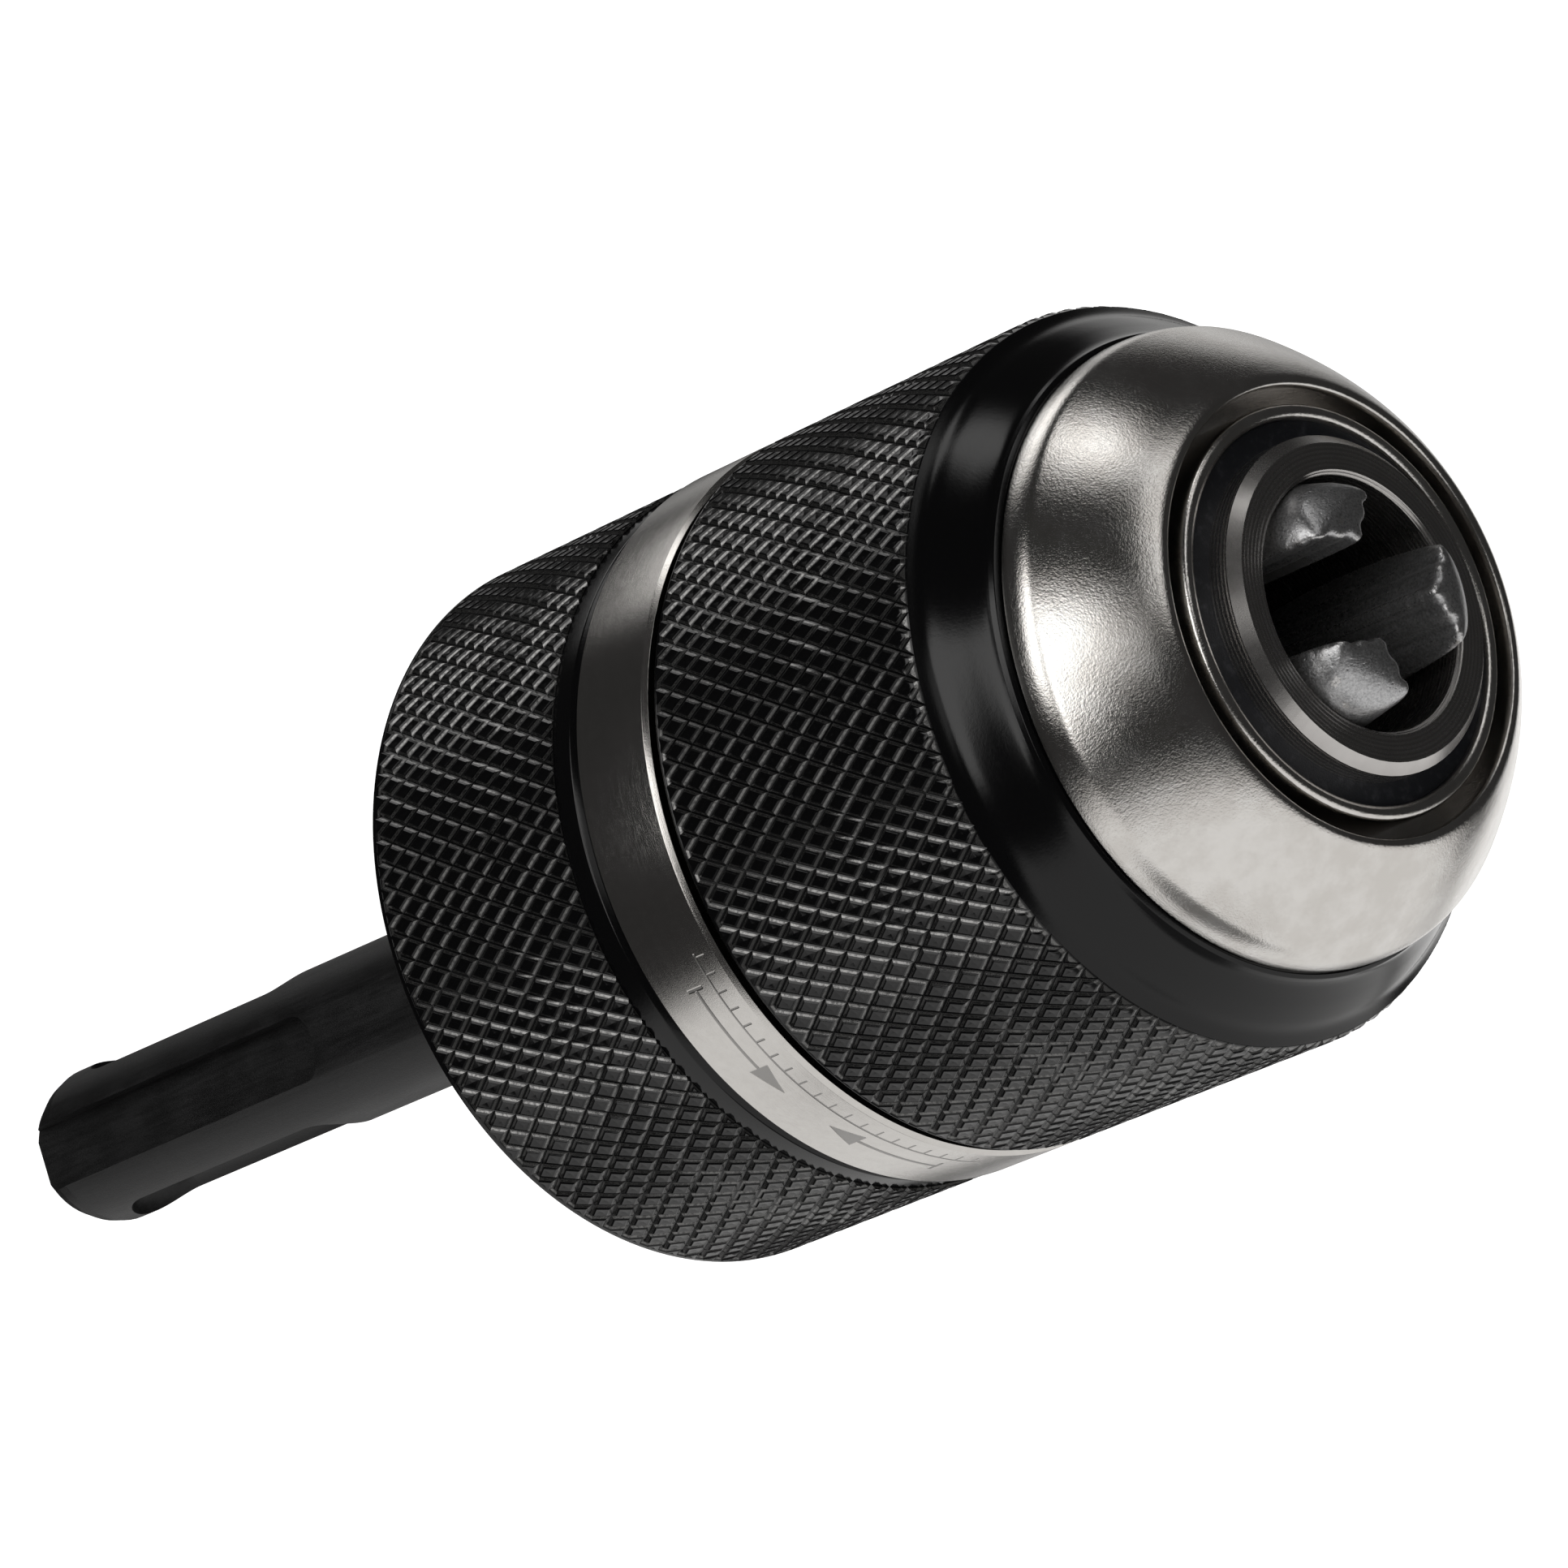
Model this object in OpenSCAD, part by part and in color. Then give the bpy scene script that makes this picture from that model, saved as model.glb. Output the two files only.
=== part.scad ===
// Keyless drill chuck on a quick-change hammer shank, with its whole closing mechanism.
// Millimetres. Z is the spindle axis and points to the nose; z = 0 is where the shank
// leaves the sleeves, so the shank lies below it and the chuck above.
// Jaw 1 lies on +X; jaws 2 and 3 follow at 120 and 240 degrees.

/* [Overall] */
// Length of the chuck itself, from the rear of the sleeves to the nose face
body_len = 60.2; // [48:0.2:80]
// Diameter over the knurl of the front sleeve
sleeve_d = 44; // [36:0.5:60]
// How much smaller the rear sleeve is than the front one
rear_step = 0.4; // [0:0.1:2]

/* [Shank] */
// Diameter of the shank
shank_d = 10; // [9:0.1:14]
// Free length of the shank
shank_len = 56.4; // [44:0.1:80]
// Bevel of the free end, on the radius
end_bevel = 1.7; // [0.4:0.1:1.8]
// Width of the two open drive slots
slot_w = 4.1; // [3:0.1:5]
// Length of the drive slots, from the free end
slot_len = 29.6; // [18:0.1:34]
// Radius of the slot floor from the axis
slot_floor = 3; // [2.4:0.1:3.6]
// Width of the two closed ball grooves
groove_w = 5.4; // [3.6:0.1:5.6]
// Start of the ball grooves, from the free end
groove_z = 4.7; // [3:0.1:8]
// Length of the ball grooves
groove_len = 21.8; // [14:0.2:24]
// Angle of the drive slots from jaw 1
slot_angle = 7.4; // [0:0.2:90]

/* [Nose] */
// Diameter of the hole in the nose
hole_d = 14.8; // [12:0.2:18]
// Wall of the hardened nose round its hole
nose_wall = 2.4; // [1.8:0.1:4]
// Bevel round the nose face
nose_bevel = 0.6; // [0.2:0.1:1.2]
// How far the cap stands in from the front sleeve, where they meet
cap_step = 3.4; // [2:0.1:4.5]
// Width of the gap between the nose and the mouth of the cap
mouth_w = 3.2; // [2.8:0.1:4]

/* [Jaws] */
// Diameter of each jaw
jaw_d = 7; // [5.6:0.1:8]
// Length of each jaw
jaw_len = 36; // [28:0.5:44]
// Radius of the gripping edges from the axis, as shown
grip_r = 3.2; // [1:0.1:6]
// How far the jaw tips stand out of the nose, as shown
tip_out = 2.5; // [-4:0.1:10]
// Gap between a jaw and its bore, on the radius
jaw_gap = 0.05; // [0.02:0.01:0.1]

/* [Thread] */
// Pitch of the thread between the nut and the jaws
pitch = 1.8; // [1.5:0.1:2.4]
// Depth of the grooves in the jaws
tooth_h = 1.2; // [0.8:0.1:1.4]
// Gap between the thread flanks, along the jaw
flank_gap = 0.14; // [0.1:0.01:0.2]

/* [Bearing] */
// Diameter of the balls
ball_d = 1.6; // [1.2:0.1:2]
// Number of balls
ball_count = 36; // [24:1:42]
// Thickness of each race
race_t = 1; // [0.8:0.1:1.4]
// Gap between the balls and each race
ball_gap = 0.02; // [0.01:0.01:0.05]

/* [Hidden] */
$fn = 96;
kr = sleeve_d / 44;
kz = body_len / 60.2;
face_z = body_len;
shank_r = shank_d / 2;
hole_r = hole_d / 2;
nose_r = hole_r + nose_wall;
mouth_r = nose_r + mouth_w;
jaw_r = jaw_d / 2;
ball_r = ball_d / 2;
// radii, from the sleeves inwards
front_r = sleeve_d / 2;
rear_r = front_r - rear_step / 2;
cap_r = front_r - cap_step;
shell_r = front_r - 1.6;
rear_shell_r = rear_r - 1.2;
collar_r = shell_r - 1.1;
flange_r = collar_r + 0.1;
liner_gap = 0.08;
race_ri = collar_r - 2.3;
nut_r = collar_r - 2.4;
hub_r = 12.5 * kr;
// the curve of the front sleeve down to the cap, and that of the cap down to its mouth
sleeve_k = cap_step / 3.4;
dome_k = (cap_r - mouth_r) / 5.6;
stud_r = 6.3;
screw_r = 3;
// heights, from the nose backwards
rear_z = 0;
end_z = -shank_len;
boss_z = rear_z + 3.5;
race_z = face_z - 33.2 * kz;
flange_z = face_z - 38 * kz;
band_z0 = face_z - 41.5 * kz;
band_z1 = face_z - 35.3 * kz;
ball_z = race_z + race_t + ball_gap + ball_r;
front_race_z = ball_z + ball_r + ball_gap;
nut_z0 = front_race_z + race_t;
nut_z1 = face_z - 17.9 * kz;
lip_z = nut_z1 + 1.2;
sleeve_z1 = face_z - 9.25 * kz;
lip_top = face_z - 1.54;
dome_h = (lip_top - sleeve_z1 - 0.65) / 7.06;
step_z = face_z - 5.6;
floor_z = face_z - 35 * kz;
stud_z = floor_z - 4.5;
// the jaws lean inwards as far as the bearing leaves room for them
lean_c = 0.9613;
axis_r = hole_r - (jaw_r + jaw_gap) / lean_c - 0.06;
lean = atan((race_ri - 0.24 - (jaw_r + jaw_gap) / lean_c - axis_r) / (face_z - race_z));
// heights above the jaw axis of the groove root, the nut crest and the nut root
root_h = jaw_r - tooth_h;
crest_h = root_h + 0.2;
nut_root_h = jaw_r + 0.2;
body_h = root_h - 0.1;
groove_w0 = 0.4 * pitch;
flank = 0.2625;
tip_z = face_z + tip_out;
tip_u = tip_out / cos(lean);
rear_u = tip_u - jaw_len;
// first and last height of the nut along the jaw, and where its thread starts
nut_u0 = (nut_z0 - face_z - nut_root_h * sin(lean)) / cos(lean);
nut_u1 = (nut_z1 - face_z - nut_root_h * sin(lean)) / cos(lean);
crest_w = groove_w0 + (crest_h - root_h) * 2 * flank - 2 * flank_gap;
base_w = groove_w0 + (nut_root_h - root_h) * 2 * flank - 2 * flank_gap;
turns = floor((nut_u1 - nut_u0 - 0.5 - base_w) / pitch);
thread_u = nut_u0 + (nut_u1 - nut_u0 - turns * pitch) / 2;
steel = [0.62, 0.62, 0.64];
dark = [0.16, 0.16, 0.17];
black = [0.09, 0.09, 0.1];
bright = [0.82, 0.82, 0.84];
brass = [0.72, 0.58, 0.3];

// point on the cone that the jaws lie on: u along the jaw, h above its axis
function cone(u, h) = [axis_r - u * sin(lean) + h * cos(lean),
                       face_z + u * cos(lean) + h * sin(lean)];
// radius at height z of the cone that stands h above the jaw axes
function cone_r(z, h) = axis_r + (face_z - z) * tan(lean) + h / cos(lean);

module ring(r0, r1, z0, z1)
  difference() {
    translate([0, 0, z0])
      cylinder(r = r1, h = z1 - z0);
    translate([0, 0, z0 - 1])
      cylinder(r = r0, h = z1 - z0 + 2);
  }

module turned(points)
  rotate_extrude()
    polygon(points);

module drive_slot(a)
  rotate([0, 0, a]) {
    translate([slot_floor, -slot_w / 2, end_z - 1])
      cube([shank_r, slot_w, slot_len - slot_w / 2 + 1]);
    translate([slot_floor, 0, end_z + slot_len - slot_w / 2])
      rotate([0, 90, 0])
        cylinder(d = slot_w, h = shank_r);
  }

module ball_groove(a)
  rotate([0, 0, a])
    translate([shank_r + 0.4, 0, end_z + groove_z + groove_w / 2]) {
      sphere(r = groove_w / 2 + 0.05);
      cylinder(r = groove_w / 2 + 0.05, h = groove_len - groove_w);
      translate([0, 0, groove_len - groove_w])
        sphere(r = groove_w / 2 + 0.05);
    }

module hammer_shank()
  color(dark)
    difference() {
      turned([[0, end_z], [shank_r - end_bevel, end_z],
              [shank_r - 0.47 * end_bevel, end_z + 0.65 * end_bevel],
              [shank_r - 0.15 * end_bevel, end_z + 1.3 * end_bevel],
              [shank_r, end_z + 1.9 * end_bevel], [shank_r, rear_z + 0.4],
              [shank_r + 3.4, rear_z + 0.4], [shank_r + 3.8, rear_z + 0.8],
              [shank_r + 3.8, boss_z], [stud_r, boss_z], [stud_r, stud_z - 1],
              [stud_r - 1, stud_z], [0, stud_z]]);
      drive_slot(slot_angle);
      drive_slot(slot_angle + 180);
      ball_groove(slot_angle + 90);
      ball_groove(slot_angle + 270);
      translate([0, 0, stud_z - 13])
        cylinder(r = screw_r, h = 20);
    }

module retaining_screw()
  color(steel)
    difference() {
      union() {
        translate([0, 0, stud_z - 12])
          cylinder(r = screw_r, h = floor_z - stud_z + 12);
        translate([0, 0, floor_z])
          cylinder(r = 4.8, h = 3.8);
        translate([0, 0, floor_z + 3.8])
          cylinder(r1 = 4.8, r2 = 4.4, h = 0.4);
      }
      translate([0, 0, floor_z + 1.4])
        cylinder(r = 2.3, h = 4, $fn = 6);
    }

module jaw_bore(i)
  rotate([0, 0, 120 * i])
    translate([axis_r, 0, face_z])
      rotate([0, -lean, 0])
        translate([0, 0, -70])
          cylinder(r = jaw_r + jaw_gap, h = 80);

module chuck_body()
  color(steel)
    difference() {
      turned([[stud_r, boss_z], [hub_r - 0.5, boss_z], [hub_r, boss_z + 0.5],
              [hub_r, boss_z + 4.7], [hub_r - 0.5, boss_z + 4.7],
              [hub_r - 0.5, boss_z + 5.7], [hub_r, boss_z + 5.7], [hub_r, flange_z],
              [flange_r, flange_z], [flange_r, race_z], [race_ri, race_z],
              [race_ri, race_z + 0.95], [race_ri - 1, race_z + 0.95],
              [race_ri - 1, nut_z0 - 0.25], [cone_r(nut_z0 - 0.25, body_h), nut_z0 - 0.25],
              [cone_r(nut_z1 + 0.3, body_h), nut_z1 + 0.3], [14.4 * kr, nut_z1 + 0.3],
              [14.4 * kr, nut_z1 + 1], [nose_r + 0.2, step_z - 0.2], [nose_r, step_z],
              [nose_r, face_z - nose_bevel], [nose_r - nose_bevel, face_z],
              [hole_r + 0.25, face_z], [hole_r, face_z - 0.25], [hole_r, floor_z],
              [screw_r + 0.1, floor_z], [screw_r + 0.1, stud_z], [stud_r, stud_z]]);
      for (i = [0:2])
        jaw_bore(i);
    }

// one groove of jaw i: a ring cut round the spindle, tilted by the helix angle
module jaw_groove(u)
  translate([0, 0, cone(u, root_h)[1]])
    rotate([atan(pitch / (2 * PI * cone(u, root_h)[0])), 0, 0])
      translate([0, 0, -cone(u, root_h)[1]])
        turned([cone(u - groove_w0 / 2, root_h), cone(u + groove_w0 / 2, root_h),
                cone(u + groove_w0 / 2 + 1.8 * flank, root_h + 1.8),
                cone(u - groove_w0 / 2 - 1.8 * flank, root_h + 1.8)]);

// the side of a jaw that faces the spindle: a ridge, two lower ridges and two flats
module grip_side()
  translate([0, 0, face_z - 60])
    linear_extrude(height = 90)
      polygon([[grip_r, 0.4], [grip_r + 0.75, 0.6], [grip_r + 0.75, 0.95],
               [grip_r + 0.62, 1.05], [grip_r + 0.92, 1.6], [grip_r + 1.5, 1.75],
               [grip_r + 1.5, 2.05], [grip_r + 1.3, 2.25], [grip_r + 6.93, 12],
               [-12, 12], [-12, -12], [grip_r + 6.93, -12], [grip_r + 1.3, -2.25],
               [grip_r + 1.5, -2.05], [grip_r + 1.5, -1.75], [grip_r + 0.92, -1.6],
               [grip_r + 0.62, -1.05], [grip_r + 0.75, -0.95], [grip_r + 0.75, -0.6],
               [grip_r, -0.4]]);

module jaw(i)
  color(steel)
    rotate([0, 0, 120 * i])
      difference() {
        intersection() {
          translate([axis_r, 0, face_z])
            rotate([0, -lean, 0])
              translate([0, 0, rear_u]) {
                cylinder(r1 = jaw_r - 0.5, r2 = jaw_r, h = 0.5);
                translate([0, 0, 0.5])
                  cylinder(r = jaw_r, h = jaw_len + 4);
              }
          turned([[0, face_z - 60], [40, face_z - 60], [40, tip_z - 7],
                  [cone_r(tip_z - 2.4, jaw_r) + 0.1, tip_z - 2.4],
                  [cone_r(tip_z - 2.4, jaw_r) - 0.35, tip_z - 1.45],
                  [cone_r(tip_z - 2.4, jaw_r) - 0.95, tip_z - 0.7],
                  [cone_r(tip_z - 2.4, jaw_r) - 1.75, tip_z - 0.2],
                  [cone_r(tip_z - 2.4, jaw_r) - 2.6, tip_z], [0, tip_z]]);
        }
        grip_side();
        for (k = [-20:20]) {
          u = thread_u + base_w / 2 + pitch * (k + i / 3);
          if (u > rear_u - 0.4 * pitch && u < rear_u + 0.76 * jaw_len)
            jaw_groove(u);
        }
      }

module jaw_1()
  jaw(0);

module jaw_2()
  jaw(1);

module jaw_3()
  jaw(2);

// section of the nut at angle a: root line, teeth shifted by the helix, then the outer wall
function tooth(u) = [cone(u - base_w / 2, nut_root_h), cone(u - crest_w / 2, crest_h),
                     cone(u + crest_w / 2, crest_h), cone(u + base_w / 2, nut_root_h)];
function nut_section(a) = concat(
  [cone(nut_u0, nut_root_h)],
  [for (k = [0:turns - 1]) for (p = tooth(thread_u + base_w / 2 + pitch * (k + a / 360))) p],
  [cone(nut_u1, nut_root_h), [nut_r, nut_z1], [nut_r, nut_z0]]);

// half of the split nut, from angle a0 to a0 + 180: its sections are joined by triangles
module nut_half(a0) {
  steps = 20;
  n = 4 * turns + 4;
  points = [for (s = [0:steps]) for (p = nut_section(a0 + 180 * s / steps))
    [p[0] * cos(a0 + 180 * s / steps), p[0] * sin(a0 + 180 * s / steps), p[1]]];
  sides = [for (s = [0:steps - 1]) for (j = [0:n - 1])
    each [[s * n + j, s * n + (j + 1) % n, (s + 1) * n + j],
          [s * n + (j + 1) % n, (s + 1) * n + (j + 1) % n, (s + 1) * n + j]]];
  // each end: two triangles for every tooth, and a fan from the outer rear corner
  fan = concat([0], [for (k = [0:turns - 1]) each [4 * k + 1, 4 * k + 4]], [n - 3, n - 2]);
  start = concat([for (k = [0:turns - 1]) each [[4 * k + 1, 4 * k + 3, 4 * k + 2],
                                                [4 * k + 1, 4 * k + 4, 4 * k + 3]]],
                 [for (j = [0:len(fan) - 2]) [n - 1, fan[j + 1], fan[j]]]);
  end = [for (f = start) [f[0] + steps * n, f[2] + steps * n, f[1] + steps * n]];
  polyhedron(points = points, faces = concat(sides, start, end), convexity = 8);
}

module nut_half_a()
  color(brass)
    nut_half(0);

module nut_half_b()
  color(brass)
    nut_half(180);

module nut_collar()
  color(steel)
    turned([[nut_r, nut_z0], [collar_r, nut_z0], [collar_r, lip_z - 0.4],
            [collar_r - 0.4, lip_z], [15 * kr, lip_z], [15 * kr, nut_z1], [nut_r, nut_z1]]);

// wave spring: a flat ring that rises and falls six times
module preload_spring() {
  n = 96;
  mid = (lip_z + face_z - 14.8 * kz) / 2;
  rise = (face_z - 14.8 * kz - lip_z) / 2 - 0.25;
  points = [for (s = [0:n - 1]) for (c = [[-1.6, -0.25], [-0.2, -0.25], [-0.2, 0.25], [-1.6, 0.25]])
    [(collar_r + c[0]) * cos(360 * s / n), (collar_r + c[0]) * sin(360 * s / n),
     mid + c[1] + rise * cos(6 * 360 * s / n)]];
  faces = [for (s = [0:n - 1]) for (j = [0:3])
    each [[s * 4 + j, ((s + 1) % n) * 4 + j, s * 4 + (j + 1) % 4],
          [s * 4 + (j + 1) % 4, ((s + 1) % n) * 4 + j, ((s + 1) % n) * 4 + (j + 1) % 4]]];
  color(bright)
    polyhedron(points = points, faces = faces, convexity = 6);
}

module race_front()
  color(bright)
    ring(race_ri - 0.7, collar_r, front_race_z, nut_z0);

module ball_cage()
  color(brass)
    difference() {
      ring(race_ri - 0.1, collar_r - 0.1, ball_z - 0.45, ball_z + 0.45);
      for (k = [0:ball_count - 1])
        rotate([0, 0, 360 * k / ball_count])
          translate([race_ri + 1.1, 0, ball_z - 1])
            cylinder(r = ball_r + 0.02, h = 2);
    }

module bearing_balls()
  color(bright)
    for (k = [0:ball_count - 1])
      rotate([0, 0, 360 * k / ball_count])
        translate([race_ri + 1.1, 0, ball_z])
          sphere(r = ball_r);

module race_rear()
  color(bright)
    ring(race_ri, collar_r, race_z, race_z + race_t);

module front_liner()
  color(dark)
    turned([[flange_r + liner_gap, band_z1 + 0.7], [shell_r, band_z1 + 0.7],
            [shell_r, face_z - 13.6 * kz], [cap_r - 1.05, face_z - 13.6 * kz],
            [cap_r - 1.05, face_z - 14.8 * kz], [collar_r, face_z - 14.8 * kz],
            [collar_r, front_race_z - 0.15], [flange_r + liner_gap, front_race_z - 0.15]]);

module front_sleeve()
  color(black)
    turned([[shell_r, band_z1 + 0.5], [front_r - 0.4, band_z1 + 0.5],
            [front_r, band_z1 + 0.9], [front_r, face_z - 13.8 * kz],
            [front_r - 0.6 * sleeve_k, face_z - 13.55 * kz],
            [front_r - 0.95 * sleeve_k, face_z - 12.9 * kz],
            [front_r - 1.4 * sleeve_k, face_z - 12.2 * kz],
            [front_r - 1.95 * sleeve_k, face_z - 11.4 * kz],
            [front_r - 2.5 * sleeve_k, face_z - 10.65 * kz],
            [front_r - 2.95 * sleeve_k, face_z - 10 * kz],
            [cap_r + 0.15, sleeve_z1 - 0.2], [cap_r - 0.1, sleeve_z1],
            [cap_r - 1.05, sleeve_z1], [cap_r - 1.05, face_z - 10.7 * kz],
            [cap_r - 0.4, face_z - 10.8 * kz], [front_r - 2.8 * sleeve_k, face_z - 12.1 * kz],
            [shell_r, face_z - 13.5 * kz]]);

module nose_cap()
  color(bright)
    turned([[cap_r - 2.2, face_z - 14.7 * kz], [cap_r - 1.05, face_z - 14.7 * kz],
            [cap_r - 1.05, sleeve_z1 + 0.1], [cap_r - 0.15, sleeve_z1 + 0.1],
            [cap_r, sleeve_z1 + 0.25], [cap_r, lip_top - 7.06 * dome_h],
            [mouth_r + 5.56 * dome_k, lip_top - 6.36 * dome_h],
            [mouth_r + 5.4 * dome_k, lip_top - 5.66 * dome_h],
            [mouth_r + 5.05 * dome_k, lip_top - 5.06 * dome_h],
            [mouth_r + 4.3 * dome_k, lip_top - 4.01 * dome_h],
            [mouth_r + 3.5 * dome_k, lip_top - 2.96 * dome_h],
            [mouth_r + 2.65 * dome_k, lip_top - 1.96 * dome_h],
            [mouth_r + 1.8 * dome_k, lip_top - 1.08 * dome_h],
            [mouth_r + 1.1 * dome_k, lip_top - 0.46 * dome_h],
            [mouth_r + 0.65 * dome_k, lip_top - 0.12 * dome_h], [mouth_r + 0.35 * dome_k, lip_top],
            [mouth_r + 0.1 * dome_k, lip_top - 0.1], [mouth_r, lip_top - 0.4],
            [mouth_r, step_z + 0.2], [nose_r + 1.2, step_z + 0.2], [nose_r + 1.2, step_z - 1],
            [cap_r - 3.6, step_z - 1], [cap_r - 2.2, step_z - 2.8]]);

module retaining_ring()
  color(bright)
    turned([[nose_r, step_z + 0.3], [nose_r + 2.25, step_z + 0.3],
            [nose_r + 2.25, face_z - 2], [nose_r + 2.1, face_z - 1.65],
            [nose_r + 1.75, face_z - 1.5], [nose_r + 1.45, face_z - 1.6],
            [nose_r + 1.3, face_z - 1.9], [nose_r + 1.3, face_z - 3.6],
            [nose_r, face_z - 3.6]]);

module dust_seal()
  color(black)
    ring(nose_r, nose_r + 1.3, face_z - 3.6, face_z - 1.95);

module indicator_band()
  color(bright)
    turned([[rear_shell_r - 0.5, band_z0 - 2.5], [rear_shell_r, band_z0 - 2.5],
            [rear_shell_r, band_z0], [rear_r - 0.2, band_z0], [rear_r + 0.05, band_z0 + 0.25],
            [rear_r + 0.05, band_z1 - 0.4], [rear_r - 0.3, band_z1], [flange_r, band_z1],
            [flange_r, band_z1 - 2.4], [rear_shell_r - 0.5, band_z1 - 2.4]]);

module rear_sleeve()
  color(black)
    turned([[rear_shell_r - 1, rear_z], [rear_r - 0.6, rear_z], [rear_r - 0.15, rear_z + 0.2],
            [rear_r, rear_z + 0.6], [rear_r, band_z0 - 2.1], [rear_r - 0.25, band_z0 - 1.95],
            [rear_r - 0.25, band_z0 - 0.6], [rear_r - 0.45, band_z0 - 0.4],
            [rear_shell_r, band_z0 - 0.4], [rear_shell_r, rear_z + 1.6],
            [rear_shell_r - 1, rear_z + 1.6]]);

module rear_hub()
  color(dark)
    turned([[hub_r, boss_z + 0.7], [rear_shell_r, boss_z + 0.7],
            [rear_shell_r, boss_z + 6.5], [rear_shell_r - 1.2, boss_z + 6.5],
            [rear_shell_r - 1.2, boss_z + 2.5], [hub_r + 1.5, boss_z + 2.5],
            [hub_r + 1.5, boss_z + 4.7], [hub_r, boss_z + 4.7]]);

module rear_clip()
  color(bright)
    rotate([0, 0, 75])
      rotate_extrude(angle = 330)
        translate([hub_r - 0.5, boss_z + 4.7])
          square([2, 1]);

module rear_cover()
  color(black)
    difference() {
      turned([[shank_r + 4.2, rear_z + 1.6], [rear_shell_r, rear_z + 1.6],
              [rear_shell_r, boss_z + 0.7], [rear_shell_r - 2, boss_z + 0.7],
              [rear_shell_r - 3, boss_z - 0.4], [shank_r + 4.2, boss_z - 0.4]]);
      for (k = [0:5])
        rotate([0, 0, 60 * k + 30])
          translate([14.5 * kr, 0, rear_z])
            cylinder(r = 1.2, h = 6);
    }

hammer_shank();
retaining_screw();
chuck_body();
jaw_1();
jaw_2();
jaw_3();
nut_half_a();
nut_half_b();
nut_collar();
preload_spring();
race_front();
ball_cage();
bearing_balls();
race_rear();
front_liner();
front_sleeve();
nose_cap();
retaining_ring();
dust_seal();
indicator_band();
rear_sleeve();
rear_hub();
rear_clip();
rear_cover();
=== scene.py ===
"""Finished look of a keyless drill chuck on a quick-change hammer shank.

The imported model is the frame. Turned pieces are spun from their profiles, knurls are cut as
real diamonds, and every piece gets a procedural finish that reads its own Object coordinates.
"""

import logging
import math
from dataclasses import dataclass, field
from enum import Enum
from typing import Callable, Iterable, Optional, Sequence, Union

import bpy
from mathutils import Matrix, Vector


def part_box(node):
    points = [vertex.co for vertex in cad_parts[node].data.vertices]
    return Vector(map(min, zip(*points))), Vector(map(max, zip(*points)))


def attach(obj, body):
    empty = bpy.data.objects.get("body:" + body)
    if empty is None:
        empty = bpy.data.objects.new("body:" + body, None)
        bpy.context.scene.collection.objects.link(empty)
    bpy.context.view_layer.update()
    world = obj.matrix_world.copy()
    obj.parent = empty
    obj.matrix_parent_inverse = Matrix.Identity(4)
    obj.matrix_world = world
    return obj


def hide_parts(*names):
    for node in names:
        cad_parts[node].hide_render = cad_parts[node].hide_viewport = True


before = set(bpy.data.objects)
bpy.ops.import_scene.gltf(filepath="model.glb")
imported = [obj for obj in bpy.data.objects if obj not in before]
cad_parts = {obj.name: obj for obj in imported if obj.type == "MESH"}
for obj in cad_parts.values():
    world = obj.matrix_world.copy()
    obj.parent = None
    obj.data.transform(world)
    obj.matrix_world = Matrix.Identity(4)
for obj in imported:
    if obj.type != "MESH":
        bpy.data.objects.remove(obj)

LOG = logging.getLogger("chuck")
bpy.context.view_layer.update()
MM = 0.001
ORIGIN = (0.0, 0.0, 0.0)
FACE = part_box("chuck_body")[1].z / MM
Point = tuple[float, float]
Number = Union[float, "Wire"]


# ---------------------------------------------------------------- shader writing


class Wire:
    """A socket of a material, on which Python operators add Math nodes."""

    def __init__(self, shop: "NodeShop", socket: bpy.types.NodeSocket) -> None:
        """Wraps one output socket.

        Args:
            shop: the material that the socket belongs to.
            socket: the output socket.
        """
        self.shop = shop
        self.socket = socket

    def _math(self, operation: str, *values: Number) -> "Wire":
        """Adds one Math node.

        Args:
            operation: name of the Math node's operation.
            values: its inputs, in order.

        Returns:
            The node's result.
        """
        return self.shop.node("ShaderNodeMath", {"operation": operation}, dict(enumerate(values)))

    def __add__(self, other: Number) -> "Wire":
        """self + other."""
        return self._math("ADD", self, other)

    __radd__ = __add__

    def __sub__(self, other: Number) -> "Wire":
        """self - other."""
        return self._math("SUBTRACT", self, other)

    def __rsub__(self, other: Number) -> "Wire":
        """other - self."""
        return self._math("SUBTRACT", other, self)

    def __mul__(self, other: Number) -> "Wire":
        """self * other."""
        return self._math("MULTIPLY", self, other)

    __rmul__ = __mul__

    def __truediv__(self, other: Number) -> "Wire":
        """self / other."""
        return self._math("DIVIDE", self, other)

    def __abs__(self) -> "Wire":
        """Size of self without its sign."""
        return self._math("ABSOLUTE", self)

    def most(self, other: Number) -> "Wire":
        """The larger of self and other."""
        return self._math("MAXIMUM", self, other)

    def sine(self) -> "Wire":
        """Sine of self."""
        return self._math("SINE", self)

    def bearing(self, x: Number) -> "Wire":
        """Angle of the point (x, self), in radians."""
        return self._math("ARCTAN2", self, x)

    def root(self) -> "Wire":
        """Square root of self."""
        return self._math("SQRT", self)

    def whole(self) -> "Wire":
        """The whole number nearest to self."""
        return self._math("ROUND", self)

    def ramp(self, low: float, high: float) -> "Wire":
        """A smooth step of self.

        Args:
            low: value that gives 0.
            high: value that gives 1.

        Returns:
            0 to 1, eased at both ends.
        """
        return self.shop.node(
            "ShaderNodeMapRange",
            {"interpolation_type": "SMOOTHSTEP"},
            {"Value": self, "From Min": low, "From Max": high},
        )


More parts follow.
